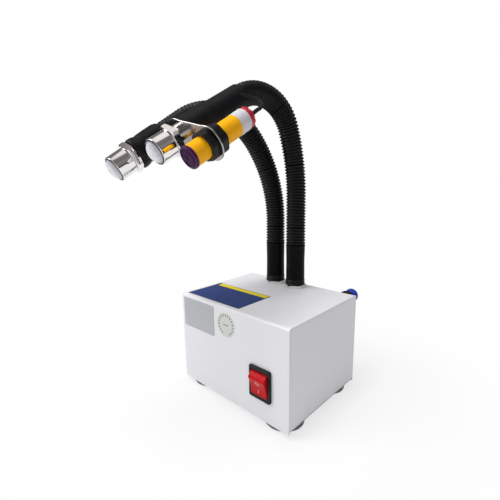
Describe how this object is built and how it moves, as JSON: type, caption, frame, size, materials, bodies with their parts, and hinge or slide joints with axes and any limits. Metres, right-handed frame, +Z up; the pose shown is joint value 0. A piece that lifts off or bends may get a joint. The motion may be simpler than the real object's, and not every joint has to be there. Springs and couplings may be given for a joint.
{
  "type": "twin-neck ionising air blower",
  "caption": "Bench-top ionising air blower: sheet-metal box with rocker switch, bendable corrugated necks ending in nozzles, and a sensor beside one nozzle that starts the air.",
  "frame": {"origin": "on the bench, under the middle of the box", "axes": "+Z up, the front of the box with its switch faces -Y, +X to the right as seen from the front"},
  "size_m": [0.146, 0.2213, 0.3137],
  "materials": {
    "white_paint": "fine powder coat",
    "foot_clear": "soft, slightly clear",
    "sleeve_rubber": "satin black",
    "screw_steel": "zinc plated",
    "black_plastic": "fine spark texture",
    "red_rocker": "smooth, slightly clear",
    "blue_collar": "smooth",
    "brass": "bright",
    "module_resin": "potted",
    "lead_red": "silicone",
    "board_green": "solder mask",
    "valve_metal": "machined",
    "coil_black": "moulded",
    "gland_chrome": "polished",
    "flange_steel": "turned",
    "hose_rubber": "satin black",
    "air_line_blue": "extruded",
    "tip_milky": "milky",
    "sensor_yellow": "threaded barrel",
    "lens_purple": "dark clear",
    "cap_red": "clear red",
    "lead_grey": "cable sheath"
  },
  "bodies": {
    "base": {"base_pan": "white_paint", "cover": "white_paint", "rubber_feet": "foot_clear", "panel_screws": "screw_steel", "switch_housing": "black_plastic", "air_fitting": "black_plastic", "power_inlet": "black_plastic", "inlet_pins": "brass", "high_voltage_module": "module_resin", "high_voltage_leads": "lead_red", "control_board": "board_green", "valve_body": "valve_metal", "valve_coil": "coil_black", "air_manifold": "valve_metal", "neck_glands": "gland_chrome", "gland_locknuts": "gland_chrome", "right_cuff": "sleeve_rubber", "left_cuff": "sleeve_rubber", "right_air_line": "air_line_blue", "left_air_line": "air_line_blue", "right_hose_bend_1": "hose_rubber", "left_hose_bend_1": "hose_rubber"},
    "rocker": {"switch_rocker": "red_rocker"},
    "collar": {"fitting_collar": "blue_collar"},
    "trim_screw": {"sensitivity_screw": "brass"},
    "right_neck_1": {"right_hose_length_1": "hose_rubber", "right_hose_bend_2": "hose_rubber"},
    "right_neck_2": {"right_hose_length_2": "hose_rubber", "right_hose_bend_3": "hose_rubber"},
    "right_neck_3": {"right_hose_length_3": "hose_rubber", "right_hose_bend_4": "hose_rubber"},
    "right_neck_4": {"right_hose_length_4": "hose_rubber", "right_hose_bend_5": "hose_rubber"},
    "right_head": {"right_sleeve": "sleeve_rubber", "right_nozzle_body": "valve_metal", "right_flange": "flange_steel", "right_cap": "gland_chrome", "right_tip": "tip_milky", "right_emitter": "flange_steel", "sensor_bracket": "gland_chrome", "sensor_nuts": "black_plastic", "sensor_body": "sensor_yellow", "sensor_lens": "lens_purple", "sensor_end_cap": "cap_red", "sensor_lead": "lead_grey"},
    "left_neck_1": {"left_hose_length_1": "hose_rubber", "left_hose_bend_2": "hose_rubber"},
    "left_neck_2": {"left_hose_length_2": "hose_rubber", "left_hose_bend_3": "hose_rubber"},
    "left_neck_3": {"left_hose_length_3": "hose_rubber", "left_hose_bend_4": "hose_rubber"},
    "left_neck_4": {"left_hose_length_4": "hose_rubber", "left_hose_bend_5": "hose_rubber"},
    "left_head": {"left_sleeve": "sleeve_rubber", "left_nozzle_body": "valve_metal", "left_flange": "flange_steel", "left_cap": "gland_chrome", "left_tip": "tip_milky", "left_emitter": "flange_steel"}
  },
  "joints": [
    {"name": "rocker_tilt", "type": "hinge", "parent": "base", "child": "rocker", "pos_m": [0.0412, -0.05265, 0.0413], "axis": [1, 0, 0], "range_deg": [-28, 0]},
    {"name": "collar_slide", "type": "slide", "parent": "base", "child": "collar", "axis": [0, -1, 0], "range_m": [0, 0.0015], "stiffness_N_per_m": 250, "springref_m": -0.001},
    {"name": "right_sway", "type": "hinge", "parent": "base", "child": "right_neck_1", "pos_m": [0.005, 0.04325, 0.158], "axis": [0.1132, 0.9936, 0], "range_deg": [0, 20], "deforming": ["right_hose_bend_1", "right_air_line"]},
    {"name": "right_lean", "type": "hinge", "parent": "right_neck_1", "child": "right_neck_2", "pos_m": [0.005, 0.04325, 0.18725], "axis": [0.9936, -0.1132, 0], "range_deg": [-10, 20], "deforming": ["right_hose_bend_2"]},
    {"name": "right_arch_bend", "type": "hinge", "parent": "right_neck_2", "child": "right_neck_3", "pos_m": [0.00265, 0.02263, 0.28748], "axis": [0.9936, -0.1132, 0], "range_deg": [-15, 15], "deforming": ["right_hose_bend_3"]},
    {"name": "right_arch_follow", "type": "hinge", "parent": "right_neck_3", "child": "right_neck_4", "pos_m": [-0.00016, -0.00201, 0.30193], "axis": [0.9936, -0.1132, 0], "range_deg": [-15, 15], "deforming": ["right_hose_bend_4"]},
    {"name": "right_head_tilt", "type": "hinge", "parent": "right_neck_4", "child": "right_head", "pos_m": [-0.00304, -0.02732, 0.29918], "axis": [0.9936, -0.1132, 0], "range_deg": [-25, 30], "deforming": ["right_hose_bend_5"]},
    {"name": "left_sway", "type": "hinge", "parent": "base", "child": "left_neck_1", "pos_m": [-0.024, 0.04325, 0.158], "axis": [-0.165, -0.9863, 0], "range_deg": [0, 20], "deforming": ["left_hose_bend_1", "left_air_line"]},
    {"name": "left_lean", "type": "hinge", "parent": "left_neck_1", "child": "left_neck_2", "pos_m": [-0.02407, 0.04284, 0.18724], "axis": [0.9863, -0.165, 0], "range_deg": [-10, 20], "deforming": ["left_hose_bend_2"]},
    {"name": "left_arch_bend", "type": "hinge", "parent": "left_neck_2", "child": "left_neck_3", "pos_m": [-0.03154, -0.00184, 0.27757], "axis": [0.9863, -0.165, 0], "range_deg": [-15, 15], "deforming": ["left_hose_bend_3"]},
    {"name": "left_arch_follow", "type": "hinge", "parent": "left_neck_3", "child": "left_neck_4", "pos_m": [-0.0382, -0.04158, 0.28703], "axis": [0.9863, -0.165, 0], "range_deg": [-15, 15], "deforming": ["left_hose_bend_4"]},
    {"name": "left_head_tilt", "type": "hinge", "parent": "left_neck_4", "child": "left_head", "pos_m": [-0.04532, -0.08417, 0.26578], "axis": [0.9863, -0.165, 0], "range_deg": [-25, 30], "deforming": ["left_hose_bend_5"]},
    {"name": "sensitivity_turn", "type": "hinge", "parent": "right_head", "child": "trim_screw", "pos_m": [0.02407, -0.05742, 0.27623], "axis": [-0.0965, -0.8472, -0.5225], "range_deg": [0, 270]}
  ],
  "couplings": [
    {"joint": "right_arch_follow", "follows": "right_arch_bend", "ratio": 1},
    {"joint": "left_arch_follow", "follows": "left_arch_bend", "ratio": 1}
  ]
}
